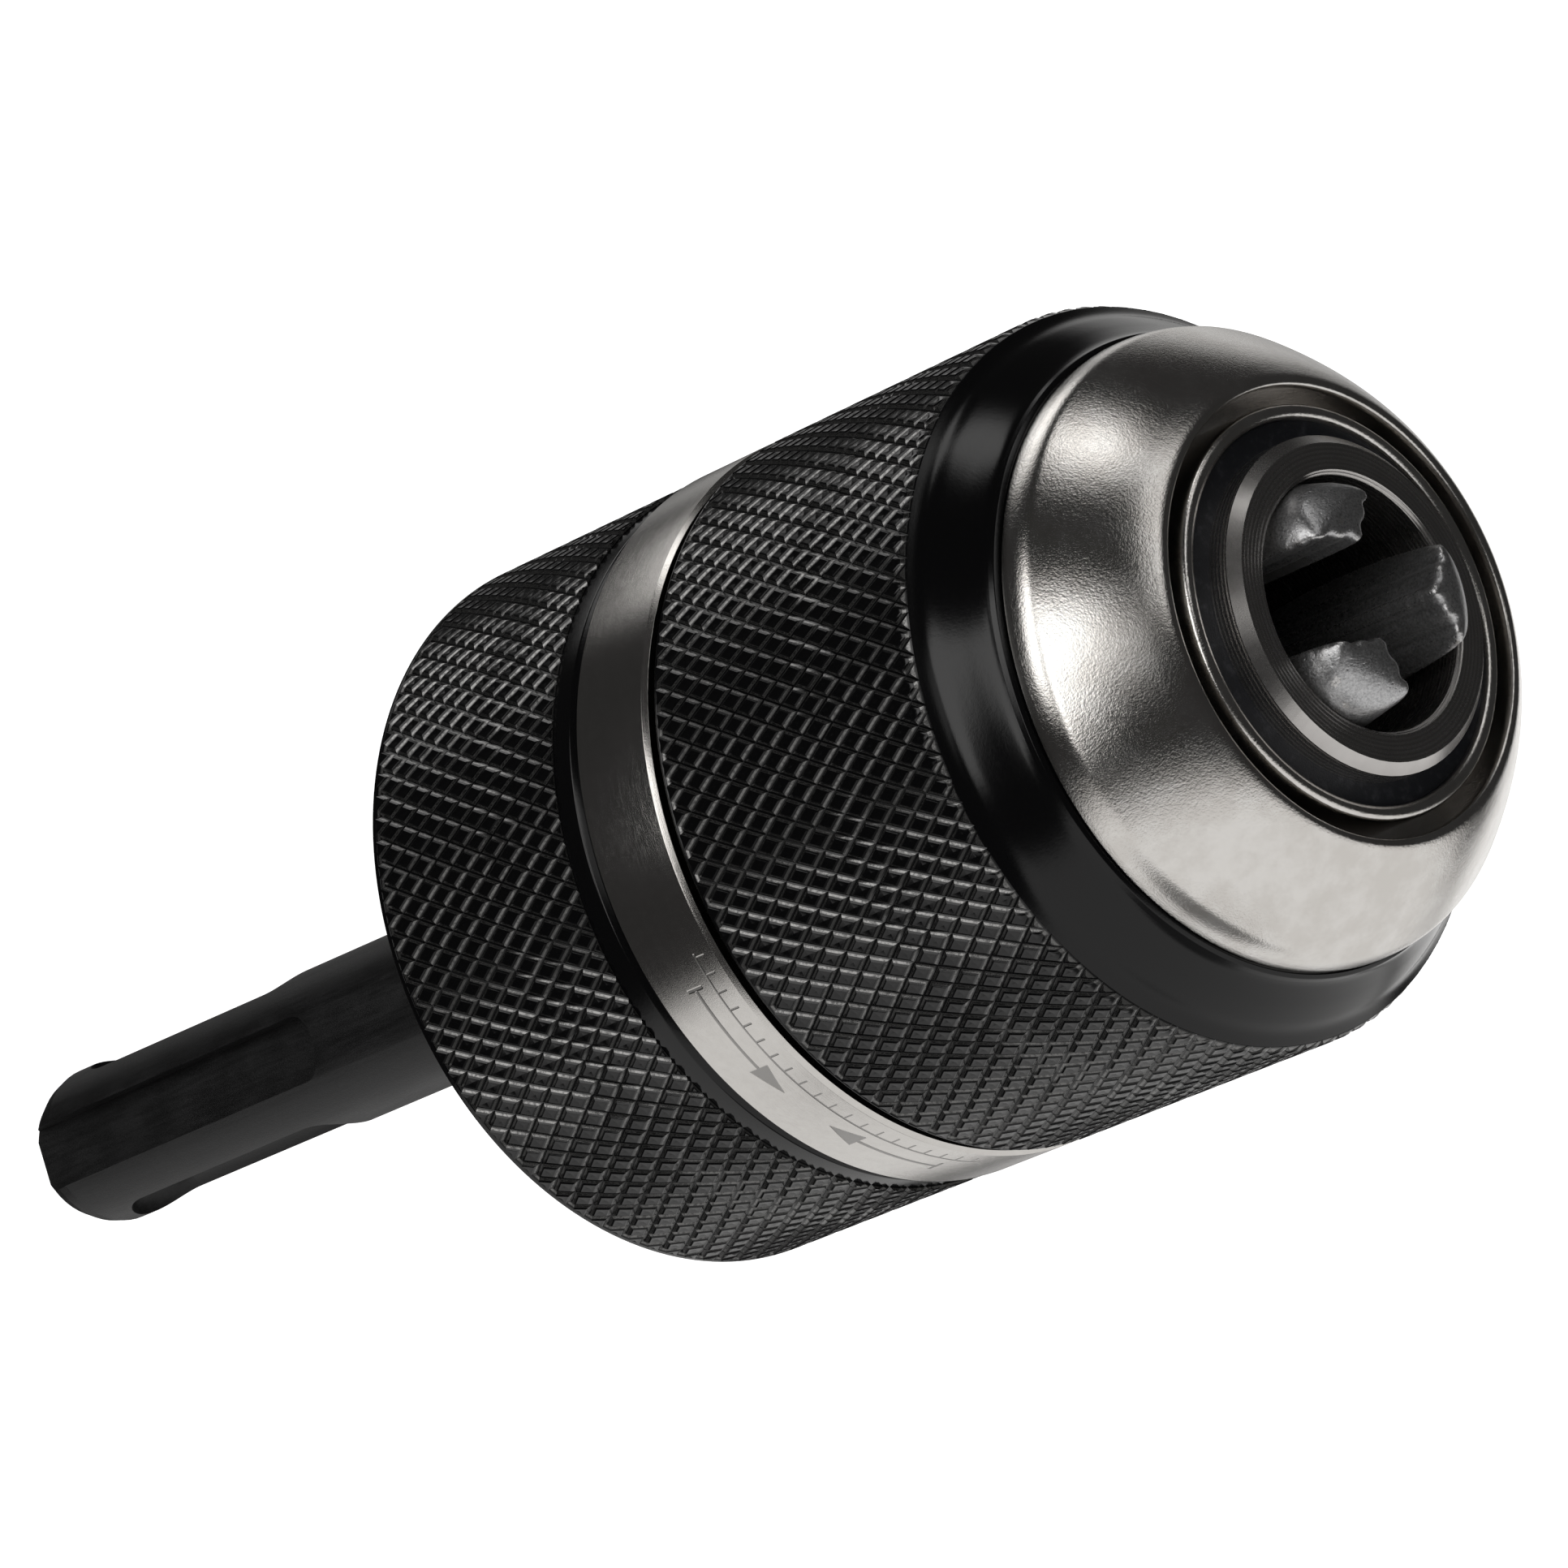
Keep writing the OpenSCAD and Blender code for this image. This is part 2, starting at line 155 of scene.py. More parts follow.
class NodeShop:
    """Writes the node tree of one material or of the world."""

    def __init__(self, tree: bpy.types.NodeTree) -> None:
        """Starts on an empty tree.

        Args:
            tree: the node tree to fill.
        """
        self.tree = tree
        tree.nodes.clear()

    def node(
        self,
        kind: str,
        settings: Optional[dict] = None,
        inputs: Optional[dict] = None,
        output: Union[int, str] = 0,
    ) -> Wire:
        """Makes any node.

        Args:
            kind: the node's type name.
            settings: its settings, which are set before its sockets.
            inputs: socket name or number to a value or a Wire.
            output: name or number of the output wanted.

        Returns:
            That output.
        """
        made = self.tree.nodes.new(kind)
        for key, value in (settings or {}).items():
            setattr(made, key, value)
        for key, value in (inputs or {}).items():
            socket = made.inputs[key]
            if isinstance(value, Wire):
                self.tree.links.new(value.socket, socket)
            else:
                socket.default_value = value
        return Wire(self, made.outputs[output])

    def dot(self, ray: Wire, axis: Iterable[float]) -> Wire:
        """How far a direction points along an axis.

        Args:
            ray: the direction.
            axis: the axis, of length 1.

        Returns:
            Their dot product.
        """
        operation = {"operation": "DOT_PRODUCT"}
        return self.node("ShaderNodeVectorMath", operation, {0: ray, 1: tuple(axis)}, output=1)

    def mix(self, factor: Number, a: object, b: object) -> Wire:
        """Mixes two colours.

        Args:
            factor: 0 for a, 1 for b.
            a: first colour.
            b: second colour.

        Returns:
            The mixed colour.
        """
        return self.node(
            "ShaderNodeMix",
            {"data_type": "RGBA"},
            {"Factor": factor, 6: a, 7: b},
            output=2,
        )

    def noise(
        self, at: Wire, scale: float, detail: float = 2.0, roughness: float = 0.5
    ) -> Wire:
        """Adds a noise field.

        Args:
            at: where it is read.
            scale: how many lumps to a unit of that place.
            detail: octaves.
            roughness: weight of the small octaves.

        Returns:
            Its value, about 0 to 1.
        """
        return self.node(
            "ShaderNodeTexNoise",
            {},
            {"Vector": at, "Scale": scale, "Detail": detail, "Roughness": roughness},
        )

    def join(self, x: Number, y: Number, z: Number) -> Wire:
        """A vector from three numbers or wires."""
        return self.node("ShaderNodeCombineXYZ", {}, {0: x, 1: y, 2: z})

    def place(self) -> tuple[Wire, Wire, Wire, Wire]:
        """The shaded point.

        Returns:
            Its Object coordinates in millimetres as a vector, then x, y and z.
        """
        metres = self.node("ShaderNodeTexCoord", output="Object")
        scale = (1.0 / MM, 1.0 / MM, 1.0 / MM)
        at = self.node("ShaderNodeVectorMath", {"operation": "MULTIPLY"}, {0: metres, 1: scale})
        parts = self.node("ShaderNodeSeparateXYZ", {}, {0: at})
        outs = parts.socket.node.outputs
        return at, Wire(self, outs[0]), Wire(self, outs[1]), Wire(self, outs[2])

    def bump(self, height: Wire, depth_mm: float) -> Wire:
        """A normal raised by a height field.

        Args:
            height: the field, about 0 to 1.
            depth_mm: how deep a change of 1 is.

        Returns:
            The normal.
        """
        values = {"Height": height, "Distance": depth_mm * MM, "Strength": 1.0}
        return self.node("ShaderNodeBump", {}, values)

    def surface(self, **sockets: object) -> None:
        """Ends the material in a Principled shader.

        Args:
            sockets: Principled socket names with _ for spaces, and their values or wires.
        """
        named = {key.replace("_", " "): value for key, value in sockets.items()}
        shader = self.node("ShaderNodeBsdfPrincipled", {}, named)
        end = self.tree.nodes.new("ShaderNodeOutputMaterial")
        self.tree.links.new(shader.socket, end.inputs["Surface"])


def rgba(red: float, green: float, blue: float) -> tuple[float, float, float, float]:
    """A full colour from its three parts."""
    return (red, green, blue, 1.0)


# ---------------------------------------------------------------- finishes


@dataclass(frozen=True)
class Finish:
    """A finish that can be made into a material."""

    name: str

    def paint(self, shop: NodeShop) -> None:
        """Fills the material's nodes.

        Args:
            shop: the material's node tree.
        """
        raise NotImplementedError

    def material(self) -> bpy.types.Material:
        """The material, made once.

        Returns:
            The Blender material.
        """
        ready = bpy.data.materials.get(self.name)
        if ready:
            return ready
        made = bpy.data.materials.new(self.name)
        made.use_nodes = True
        self.paint(NodeShop(made.node_tree))
        return made


@dataclass(frozen=True)
class BlackOxide(Finish):
    """Blackened steel: a thin dark skin with faint streaks."""

    dark: float = 0.009
    light: float = 0.021
    rough: float = 0.44

    def paint(self, shop: NodeShop) -> None:
        """Fills the material's nodes.

        Args:
            shop: the material's node tree.
        """
        at, x, y, z = shop.place()
        cloud = shop.noise(at, 0.35, 4.0)
        grain = shop.noise(at, 9.0, 3.0, 0.65)
        streak = shop.noise(shop.join(x * 3.0, y * 3.0, z * 0.25), 1.2, 3.0)
        tone = (cloud * 0.5 + streak * 0.5).ramp(0.35, 0.7)
        colour = shop.mix(
            tone,
            rgba(self.dark, self.dark, self.dark * 1.05),
            rgba(self.light, self.light, self.light * 1.04),
        )
        shop.surface(
            Base_Color=colour,
            Metallic=0.35,
            Roughness=self.rough + (grain - 0.5) * 0.18 + (tone - 0.5) * 0.08,
            Normal=shop.bump(grain + streak * 0.6, 0.012),
        )


@dataclass(frozen=True)
class GlossBlack(Finish):
    """Glossy black coat over cut steel, thin on the flanks of the knurl."""

    crest_mm: float = 22.0
    depth_mm: float = 0.24
    rough: float = 0.14

    def paint(self, shop: NodeShop) -> None:
        """Fills the material's nodes.

        Args:
            shop: the material's node tree.
        """
        at, x, y, _ = shop.place()
        radius = (x * x + y * y).root()
        root = self.crest_mm - self.depth_mm
        flank = radius.ramp(root + 0.02, root + 0.07) * (
            1.0 - radius.ramp(self.crest_mm - 0.11, self.crest_mm - 0.08)
        )
        speck = shop.noise(at, 4.5, 4.0, 0.6)
        fine = shop.noise(at, 16.0, 2.0, 0.6)
        worn = flank * (speck.ramp(0.3, 0.6) * 0.6 + 0.4)
        colour = shop.mix(worn, rgba(0.004, 0.004, 0.0045), rgba(0.17, 0.168, 0.165))
        shop.surface(
            Base_Color=colour,
            Metallic=worn,
            Roughness=self.rough + (speck - 0.5) * 0.08 + worn * 0.04,
            IOR=1.37,
            Coat_Weight=0.06,
            Coat_Roughness=0.08,
            Normal=shop.bump(fine * 0.7 + speck, 0.0035),
        )


@dataclass(frozen=True)
class BrushedBand(Finish):
    """Bright steel ring, turned so that fine lines run round it, with engraved turn marks."""

    middle_mm: float = FACE - 38.4
    radius_mm: float = 21.82
    tick_mm: float = 1.2

    def paint(self, shop: NodeShop) -> None:
        """Fills the material's nodes.

        Args:
            shop: the material's node tree.
        """
        at, x, y, z = shop.place()
        lines = shop.noise(shop.join(x * 0.16, y * 0.16, z * 26.0), 1.0, 4.0, 0.7)
        soft = shop.noise(at, 1.6, 4.0, 0.6)
        grain = shop.noise(at, 14.0, 2.0, 0.6)
        around = y.bearing(x) * self.radius_mm
        mark = self._marks(around, z)
        clean = shop.mix(soft, rgba(0.60, 0.58, 0.555), rgba(0.70, 0.68, 0.655))
        shop.surface(
            Base_Color=shop.mix(mark, clean, rgba(0.36, 0.35, 0.34)),
            Metallic=1.0,
            Roughness=0.17 + (lines - 0.5) * 0.16 + (grain - 0.5) * 0.14 + mark * 0.15,
            Normal=shop.bump(lines * 0.7 + grain * 0.7 - mark * 2.5, 0.006),
        )

    def _marks(self, around: Wire, z: Wire) -> Wire:
        """The engraved marks: two arrows that point opposite ways round, and a row of ticks.

        Args:
            around: place round the ring, in millimetres of arc.
            z: height in millimetres.

        Returns:
            1 inside a mark, 0 outside.
        """
        up = z - self.middle_mm
        total: Optional[Wire] = None
        for centre, way in ((-53.0, 1.0), (-41.5, -1.0)):
            s = (around - centre) * way
            shaft = self._slab(s, -4.0, 2.2) * self._slab(up, -0.1, 0.1)
            inside = 1.0 - (abs(up) - (4.0 - s) * 0.34).ramp(-0.05, 0.05)
            head = self._slab(s, 1.8, 4.0) * inside
            tail = self._slab(s, -4.2, -4.0) * self._slab(up, -0.6, 0.6)
            one = shaft.most(head).most(tail)
            total = one if total is None else total.most(one)
        ladder = around / self.tick_mm
        near = abs(ladder - ladder.whole())
        row = self._slab(up, 1.35, 2.1) * self._slab(around, -58.8, -35.4)
        ticks = (1.0 - near.ramp(0.03, 0.07)) * row
        rule = self._slab(up, 1.3, 1.42) * self._slab(around, -59.0, -35.2)
        return total.most(ticks).most(rule)

    @staticmethod
    def _slab(value: Wire, low: float, high: float) -> Wire:
        """1 where a value lies between two limits, with a soft edge.

        Args:
            value: the value.
            low: lower limit.
            high: upper limit.

        Returns:
            0 to 1.
        """
        return value.ramp(low - 0.04, low + 0.04) * (1.0 - value.ramp(high - 0.04, high + 0.04))


@dataclass(frozen=True)
class SatinNickel(Finish):
    """Plated cap: bright, with a slight orange peel and a fine grain."""

    rough: float = 0.15

    def paint(self, shop: NodeShop) -> None:
        """Fills the material's nodes.

        Args:
            shop: the material's node tree.
        """
        at, _, _, _ = shop.place()
        peel = shop.noise(at, 1.6, 3.0, 0.5)
        grain = shop.noise(at, 6.5, 3.0, 0.7)
        stain = shop.noise(at, 0.45, 5.0, 0.6)
        dull, bright = rgba(0.66, 0.635, 0.605), rgba(0.75, 0.73, 0.705)
        colour = shop.mix(stain.ramp(0.35, 0.7), dull, bright)
        shop.surface(
            Base_Color=colour,
            Metallic=1.0,
            Roughness=self.rough + (grain - 0.5) * 0.2 + (stain - 0.5) * 0.05,
            Normal=shop.bump(peel * 0.4 + grain * 1.5, 0.011),
        )


@dataclass(frozen=True)
class TurnedSteel(Finish):
    """Machined steel: rings on flat faces, lines round the cylinders."""

    pitch_mm: float = 0.26
    rough: float = 0.26
    tone: float = 0.56

    def paint(self, shop: NodeShop) -> None:
        """Fills the material's nodes.

        Args:
            shop: the material's node tree.
        """
        at, x, y, z = shop.place()
        radius = (x * x + y * y).root()
        wobble = shop.noise(at, 0.7, 3.0)
        rings = ((radius + z * 0.9 + wobble * 0.03) * (2 * math.pi / self.pitch_mm)).sine()
        fine = shop.noise(shop.join(x * 0.1, y * 0.1, (radius + z) * 9.0), 1.0, 4.0, 0.7)
        grain = shop.noise(at, 12.0, 2.0, 0.6)
        tint = shop.noise(at, 0.6, 4.0)
        low, high = self.tone * 0.86, self.tone * 1.12
        dark = rgba(low, low * 0.965, low * 0.935)
        colour = shop.mix(tint, dark, rgba(high, high * 0.97, high * 0.945))
        groove = rings * 0.5 + 0.5
        shop.surface(
            Base_Color=shop.mix(groove * 0.35, colour, rgba(0.24, 0.225, 0.215)),
            Metallic=1.0,
            Roughness=self.rough + (fine - 0.5) * 0.24 + (grain - 0.5) * 0.08,
            Normal=shop.bump(groove + fine * 0.9 + grain * 0.15, 0.011),
        )


@dataclass(frozen=True)
class TumbledSteel(Finish):
    """Jaw steel: sintered and tumbled, matt in the hollows, polished on the corners."""

    rough: float = 0.32
    tone: float = 0.5

    def paint(self, shop: NodeShop) -> None:
        """Fills the material's nodes.

        Args:
            shop: the material's node tree.
        """
        at, _, _, _ = shop.place()
        lump = shop.noise(at, 0.9, 4.0, 0.6)
        grain = shop.noise(at, 6.5, 4.0, 0.7)
        cell = shop.node("ShaderNodeTexVoronoi", {}, {"Vector": at, "Scale": 3.4})
        pit = cell.ramp(0.0, 0.35)
        worn = shop.node("ShaderNodeNewGeometry", output="Pointiness").ramp(0.5, 0.56)
        low, high = self.tone * 0.7, self.tone * 1.25
        dark = rgba(low, low, low * 1.02)
        colour = shop.mix(grain.ramp(0.3, 0.7), dark, rgba(high, high, high * 1.01))
        shop.surface(
            Base_Color=shop.mix(worn, colour, rgba(0.62, 0.61, 0.6)),
            Metallic=0.9,
            Roughness=self.rough + (grain - 0.5) * 0.25 - worn * 0.12,
            Normal=shop.bump(grain * 0.8 + lump * 2.2 + pit * 0.5, 0.022),
        )


@dataclass(frozen=True)
class PlainMetal(Finish):
    """Metal of a hidden piece: a tone, a fine grain and faint stains."""

    red: float = 0.5
    green: float = 0.5
    blue: float = 0.5
    rough: float = 0.3
    metallic: float = 1.0
    grain_mm: float = 0.12

    def paint(self, shop: NodeShop) -> None:
        """Fills the material's nodes.

        Args:
            shop: the material's node tree.
        """
        at, x, y, z = shop.place()
        grain = shop.noise(at, 1.0 / self.grain_mm, 3.0, 0.6)
        stain = shop.noise(at, 0.5, 4.0)
        lines = shop.noise(shop.join(x * 0.2, y * 0.2, z * 12.0), 1.0, 3.0)
        dark = rgba(self.red * 0.8, self.green * 0.8, self.blue * 0.8)
        clean = rgba(self.red, self.green, self.blue)
        shop.surface(
            Base_Color=shop.mix(stain.ramp(0.3, 0.7), dark, clean),
            Metallic=self.metallic,
            Roughness=self.rough + (grain - 0.5) * 0.18 + (lines - 0.5) * 0.08,
            Normal=shop.bump(grain * 0.6 + lines * 0.6, 0.008),
        )


@dataclass(frozen=True)
class SealRubber(Finish):
    """Dark blue-grey seal, matt with moulding grain and a little dust."""

    def paint(self, shop: NodeShop) -> None:
        """Fills the material's nodes.

        Args:
            shop: the material's node tree.
        """
        at, _, _, _ = shop.place()
        grain = shop.noise(at, 8.0, 3.0, 0.65)
        dust = shop.noise(at, 1.1, 5.0, 0.65).ramp(0.5, 0.75)
        shop.surface(
            Base_Color=shop.mix(dust, rgba(0.012, 0.0135, 0.018), rgba(0.05, 0.052, 0.06)),
            Roughness=0.46 + (grain - 0.5) * 0.2,
            Normal=shop.bump(grain, 0.02),
        )


class Finishes(Enum):
    """The finishes of this chuck."""

    SHANK = BlackOxide("black oxide steel")
    FRONT_KNURL = GlossBlack("gloss black front", crest_mm=21.85)
    REAR_KNURL = GlossBlack("gloss black rear", crest_mm=21.75)
    BAND = BrushedBand("brushed band steel")
    CAP = SatinNickel("satin nickel")
    NOSE = TurnedSteel("turned nose steel")
    JAW = TumbledSteel("tumbled jaw steel")
    SCREW = PlainMetal("screw steel", 0.3, 0.3, 0.31, 0.34)
    NUT = PlainMetal("phosphated nut steel", 0.2, 0.195, 0.185, 0.42)
    RACE = PlainMetal("ground race steel", 0.66, 0.66, 0.67, 0.14, 1.0, 0.3)
    SPRING = PlainMetal("tempered spring steel", 0.36, 0.38, 0.46, 0.26)
    CAGE = PlainMetal("cage brass", 0.74, 0.56, 0.26, 0.3)
    LINER = PlainMetal("cast liner alloy", 0.4, 0.4, 0.42, 0.45)
    SEAL = SealRubber("seal rubber")
    COVER = PlainMetal("moulded black cover", 0.022, 0.022, 0.024, 0.5, 0.0, 0.25)


# ---------------------------------------------------------------- modelling


class Bench:
    """The modelling operators, each with its selection set first."""

    @staticmethod
    def clear() -> None:
        """Leaves object mode with nothing selected."""
        if bpy.context.object and bpy.context.object.mode != "OBJECT":
            bpy.ops.object.mode_set(mode="OBJECT")
        bpy.ops.object.select_all(action="DESELECT")

    @staticmethod
    def take(obj: bpy.types.Object) -> None:
        """Makes one object the only selected and the active one.

        Args:
            obj: the object.
        """
        Bench.clear()
        obj.select_set(True)
        bpy.context.view_layer.objects.active = obj

    @staticmethod
    def edit(obj: bpy.types.Object, whole: bool = True) -> None:
        """Opens one object in edit mode.

        Args:
            obj: the object.
            whole: whether all of its mesh is selected.
        """
        Bench.take(obj)
        bpy.ops.object.mode_set(mode="EDIT")
        bpy.ops.mesh.select_mode(type="VERT")
        bpy.ops.mesh.select_all(action="SELECT" if whole else "DESELECT")

    @staticmethod
    def close() -> None:
        """Goes back to object mode."""
        bpy.ops.object.mode_set(mode="OBJECT")

    @staticmethod
    def modifier(obj: bpy.types.Object, kind: str, **settings: object) -> None:
        """Adds a modifier and applies it.

        Args:
            obj: the object.
            kind: the modifier's type.
            settings: its settings.
        """
        Bench.take(obj)
        bpy.ops.object.modifier_add(type=kind)
        made = obj.modifiers[-1]
        for key, value in settings.items():
            setattr(made, key, value)
        bpy.ops.object.modifier_apply(modifier=made.name)

    @staticmethod
    def pick(
        obj: bpy.types.Object, wanted: Callable[[Vector], bool], mode: str = "VERT"
    ) -> None:
        """Selects what lies where it is wanted, and opens edit mode on it.

        Args:
            obj: the object.
            wanted: tells whether a vertex is wanted, from its place in metres.
            mode: VERT or EDGE.
        """
        Bench.edit(obj, whole=False)
        Bench.close()
        for vertex in obj.data.vertices:
            vertex.select = wanted(vertex.co)
        bpy.ops.object.mode_set(mode="EDIT")
        bpy.ops.mesh.select_mode(type=mode)

    @staticmethod
    def seal(obj: bpy.types.Object, reach_mm: float = 0.002) -> None:
        """Merges doubles and turns the faces outwards.

        Args:
            obj: the object.
            reach_mm: how close two points are merged.
        """
        Bench.edit(obj)
        bpy.ops.mesh.remove_doubles(threshold=reach_mm * MM)
        bpy.ops.mesh.normals_make_consistent(inside=False)
        Bench.close()

    @staticmethod
    def smooth(obj: bpy.types.Object, degrees: float = 35.0) -> None:
        """Smooth shading with edges kept sharp past an angle.

        Args:
            obj: the object.
            degrees: that angle.
        """
        Bench.take(obj)
        bpy.ops.object.shade_smooth_by_angle(angle=math.radians(degrees))

    @staticmethod
    def spin_profile(name: str, profile: Sequence[Point], steps: int = 160) -> bpy.types.Object:
        """Turns a closed profile round the spindle axis.

        Args:
            name: the piece's name.
            profile: (radius, height) points in millimetres, in order round the section.
            steps: how many stations there are round the turn.

        Returns:
            The turned piece.
        """
        Bench.clear()
        radius, height = profile[0]
        bpy.ops.mesh.primitive_plane_add(size=MM, location=(radius * MM, 0.0, height * MM))
        obj = bpy.context.object
        obj.name = name
        obj.data.name = name
        bpy.ops.object.transform_apply(location=True, rotation=True, scale=True)
        Bench.edit(obj)
        bpy.ops.mesh.merge(type="CENTER")
        for (r0, z0), (r1, z1) in zip(profile, profile[1:]):
            step = ((r1 - r0) * MM, 0.0, (z1 - z0) * MM)
            bpy.ops.mesh.extrude_region_move(TRANSFORM_OT_translate={"value": step})
        bpy.ops.mesh.select_all(action="DESELECT")
        Bench.close()
        for index in (0, -1):
            obj.data.vertices[index].select = True
        bpy.ops.object.mode_set(mode="EDIT")
        bpy.ops.mesh.select_mode(type="VERT")
        bpy.ops.mesh.edge_face_add()
        bpy.ops.mesh.select_all(action="SELECT")
        bpy.ops.mesh.spin(steps=steps, angle=2 * math.pi, center=(0, 0, 0), axis=(0, 0, 1))
        Bench.close()
        Bench.seal(obj)
        return obj

    @staticmethod
    def melt(name: str, node: str, voxel_mm: float, rounds: int) -> bpy.types.Object:
        """A copy of a CAD node with its edges softened, as casting and tumbling leave them.

        Args:
            name: the new piece's name.
            node: the CAD node.
            voxel_mm: size of the remesh.
            rounds: how many times it is smoothed.

        Returns:
            The new piece.
        """
        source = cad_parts[node]
        obj = source.copy()
        obj.data = source.data.copy()
        obj.name = name
        obj.data.name = name
        obj.parent = None
        for key in list(obj.keys()):
            del obj[key]
        bpy.context.scene.collection.objects.link(obj)
        obj.data.materials.clear()
        Bench.edit(obj)
        bpy.ops.mesh.remove_doubles(threshold=1e-6)
        Bench.close()
        Bench.modifier(obj, "REMESH", mode="VOXEL", voxel_size=voxel_mm * MM, adaptivity=0.0)
        Bench.modifier(obj, "SMOOTH", factor=0.5, iterations=rounds)
        for depth, repeats in ((1.5, 8), (-0.2, 14), (-1.2, 22)):
            Bench.pick(obj, lambda co, d=depth: co.z > (FACE - d) * MM)
            bpy.ops.mesh.vertices_smooth(factor=0.5, repeat=repeats)
            Bench.close()
        return obj


def arc_corner(a: Point, corner: Point, b: Point, radius: float, steps: int = 5) -> list[Point]:
    """Rounds one corner of a profile.

    Args:
        a: point before the corner.
        corner: the corner.
        b: point after it.
        radius: fillet radius in millimetres.
        steps: how many points the fillet has.

    Returns:
        The fillet's points.
    """
    c = Vector(corner)
    u, v = (Vector(a) - c), (Vector(b) - c)
    lu, lv = u.length, v.length
    u.normalize()
    v.normalize()
    half = u.angle(v) / 2
    reach = min(radius / math.tan(half), 0.48 * lu, 0.48 * lv)
    r = reach * math.tan(half)
    middle = c + (u + v).normalized() * (r / math.sin(half))
    start, end = c + u * reach - middle, c + v * reach - middle
    sweep = start.angle_signed(end)
    points = []
    for i in range(steps + 1):
        t = -sweep * i / steps
        x = start.x * math.cos(t) - start.y * math.sin(t)
        y = start.x * math.sin(t) + start.y * math.cos(t)
        points.append((middle.x + x, middle.y + y))
    return points


def rounded(profile: Sequence[tuple]) -> list[Point]:
    """Rounds the corners of a closed profile.

    Args:
        profile: (radius, height) or (radius, height, fillet) entries.

    Returns:
        The profile's points, corners rounded where a fillet is given.
    """
    points: list[Point] = []
    count = len(profile)
    for i, entry in enumerate(profile):
        if len(entry) == 2:
            points.append((entry[0], entry[1]))
        else:
            ahead = profile[(i + 1) % count][:2]
            points += arc_corner(profile[i - 1][:2], entry[:2], ahead, entry[2])
    return points


def behind(profile: Sequence[tuple]) -> list[tuple]:
    """Turns depths behind the nose face into heights.

    Args:
        profile: (radius, depth) or (radius, depth, fillet) entries.

    Returns:
        (radius, height) or (radius, height, fillet) entries.
    """
    return [(entry[0], FACE - entry[1], *entry[2:]) for entry in profile]


def flowing(points: Sequence[Point], steps: int = 5) -> list[Point]:
    """A smooth curve through points.

    Args:
        points: the points, in order.
        steps: how many pieces each span has.

    Returns:
        Points of the curve.
    """
    ends = [points[0], *points, points[-1]]
    out: list[Point] = []
    for i in range(len(points) - 1):
        p0, p1, p2, p3 = (Vector(p) for p in ends[i : i + 4])
        for s in range(steps):
            t = s / steps
            q = 0.5 * (
                2 * p1
                + (p2 - p0) * t
                + (2 * p0 - 5 * p1 + 4 * p2 - p3) * t * t
                + (3 * p1 - p0 - 3 * p2 + p3) * t**3
            )
            out.append((q.x, q.y))
    out.append(tuple(points[-1]))
    return out


def finish_piece(
    obj: bpy.types.Object, finish: Finishes, body: str, stands_for: Iterable[str]
) -> None:
    """Dresses a new piece and ties it to the frame.

    Args:
        obj: the piece.
        finish: its finish.
        body: the CAD body that it rides on.
        stands_for: CAD nodes that it replaces.
    """
    obj.data.materials.clear()
    obj.data.materials.append(finish.value.material())
    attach(obj, body)
    for node in stands_for:
        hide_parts(node)
    LOG.info("%s on %s: %d faces", obj.name, body, len(obj.data.polygons))


